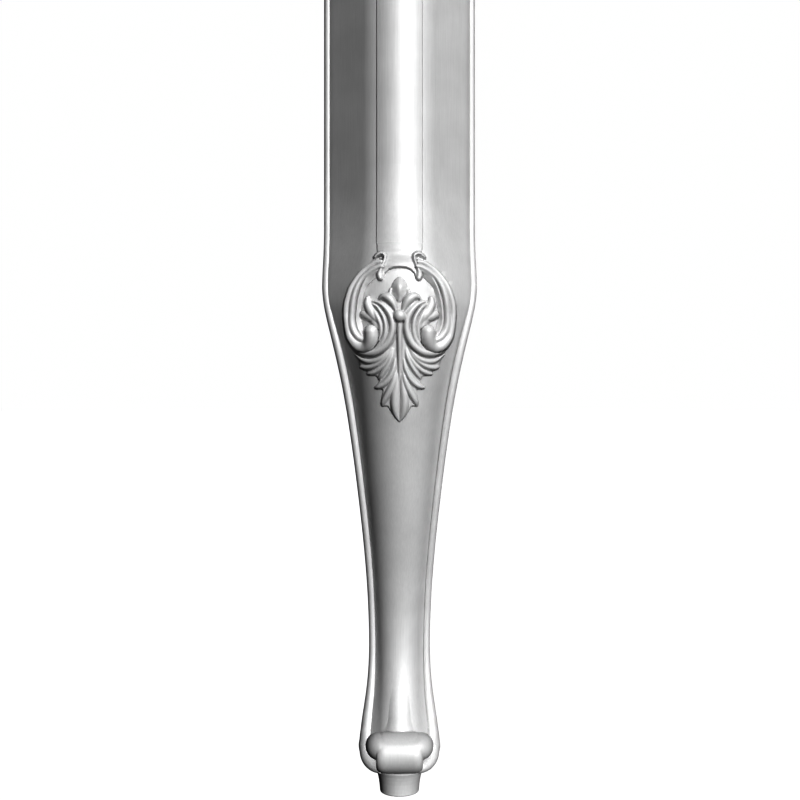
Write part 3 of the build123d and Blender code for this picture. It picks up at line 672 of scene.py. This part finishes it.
# painted shade from the crevice ramp is multiplied into the base colour
links.new(painted_cavity_shade.outputs["Color"], mul2.inputs[7])
links.new(mul2.outputs[2], bsdf.inputs["Base Color"])
rough = nodes.new("ShaderNodeMapRange")
rough.inputs["To Min"].default_value = 0.52
rough.inputs["To Max"].default_value = 0.64
links.new(grain.outputs["Fac"], rough.inputs["Value"])
links.new(rough.outputs["Result"], bsdf.inputs["Roughness"])
mixh = nodes.new("ShaderNodeMath")
mixh.operation = "MULTIPLY_ADD"
mixh.inputs[1].default_value = 0.35
links.new(peel.outputs["Fac"], mixh.inputs[0])
links.new(grain.outputs["Fac"], mixh.inputs[2])
bump = nodes.new("ShaderNodeBump")
bump.inputs["Strength"].default_value = 0.25
bump.inputs["Distance"].default_value = 0.00012
links.new(mixh.outputs["Value"], bump.inputs["Height"])
links.new(bump.outputs["Normal"], bsdf.inputs["Normal"])
leg.data.materials.clear()
leg.data.materials.append(mat)

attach(leg, "root")
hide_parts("leg")

# ---------------------------------------------------------------- the studio
me = bpy.data.meshes.new("floor")
me.from_pydata([(-30, -30, 0), (30, -30, 0), (30, 30, 0), (-30, 30, 0)], [], [(0, 1, 2, 3)])
floor = bpy.data.objects.new("floor", me)
bpy.context.scene.collection.objects.link(floor)
fm = bpy.data.materials.new("floor")
fm.use_nodes = True
fn, fl = fm.node_tree.nodes, fm.node_tree.links
fn.clear()
fo = fn.new("ShaderNodeOutputMaterial")
seen = fn.new("ShaderNodeAddShader")
fd = fn.new("ShaderNodeBsdfDiffuse")
fd.inputs["Color"].default_value = (0.30, 0.30, 0.30, 1)
fe = fn.new("ShaderNodeEmission")
fe.inputs["Color"].default_value = (1, 1, 1, 1)
fe.inputs["Strength"].default_value = 0.86
fl.new(fd.outputs[0], seen.inputs[0])
fl.new(fe.outputs[0], seen.inputs[1])
unseen = fn.new("ShaderNodeBsdfDiffuse")
unseen.inputs["Color"].default_value = (0.06, 0.06, 0.06, 1)
path = fn.new("ShaderNodeLightPath")
pick = fn.new("ShaderNodeMixShader")
fl.new(path.outputs["Is Camera Ray"], pick.inputs[0])
fl.new(unseen.outputs[0], pick.inputs[1])
fl.new(seen.outputs[0], pick.inputs[2])
fl.new(pick.outputs[0], fo.inputs["Surface"])
floor.data.materials.append(fm)

world = bpy.data.worlds.new("studio")
bpy.context.scene.world = world
world.use_nodes = True
wn, wl = world.node_tree.nodes, world.node_tree.links
wn.clear()
wo = wn.new("ShaderNodeOutputWorld")
white = wn.new("ShaderNodeBackground")
white.inputs["Color"].default_value = (1, 1, 1, 1)
white.inputs["Strength"].default_value = 1.0
dim = wn.new("ShaderNodeBackground")
dim.inputs["Color"].default_value = (1, 1, 1, 1)
dim.inputs["Strength"].default_value = 0.010
wp = wn.new("ShaderNodeLightPath")
wm = wn.new("ShaderNodeMixShader")
wl.new(wp.outputs["Is Camera Ray"], wm.inputs[0])
wl.new(dim.outputs[0], wm.inputs[1])
wl.new(white.outputs[0], wm.inputs[2])
wl.new(wm.outputs[0], wo.inputs["Surface"])


def sun(name, azimuth, elevation, strength, spread, shadow=True):
    """Azimuth 0 is a light from -Y, 90 one from +X."""
    data = bpy.data.lights.new(name, "SUN")
    data.energy = strength
    data.angle = math.radians(spread)
    data.use_shadow = shadow
    data.cycles.cast_shadow = shadow
    ob = bpy.data.objects.new(name, data)
    a, e = math.radians(azimuth), math.radians(elevation)
    d = Vector((math.sin(a) * math.cos(e), -math.cos(a) * math.cos(e), math.sin(e)))
    ob.rotation_euler = (-d).to_track_quat("-Z", "Y").to_euler()
    bpy.context.scene.collection.objects.link(ob)
    return ob


sun("key_open", 45 + 20, 24, 3.85, 4, shadow=False)
sun("key", 45 + 20, 28, 0.4, 25)
sun("back", 45 + 180, 20, 1.2, 30)

cam = bpy.data.cameras.new("camera")
cam.sensor_fit = "HORIZONTAL"
cam.sensor_width = 36.0
cam.lens = 50.0
cam.clip_start = 0.01
cam.clip_end = 100.0
camera = bpy.data.objects.new("camera", cam)
camera.location = tuple(to_xyz(np.array(928.7), np.array(0.0), np.array(326.2)))
camera.rotation_euler = Vector((-1, 1, 0)).to_track_quat("-Z", "Y").to_euler()
cam.shift_x = 0.0006
bpy.context.scene.collection.objects.link(camera)
bpy.context.scene.camera = camera
bpy.context.scene.view_settings.view_transform = "Standard"
bpy.context.scene.view_settings.gamma = 0.5

low, high = cad_box
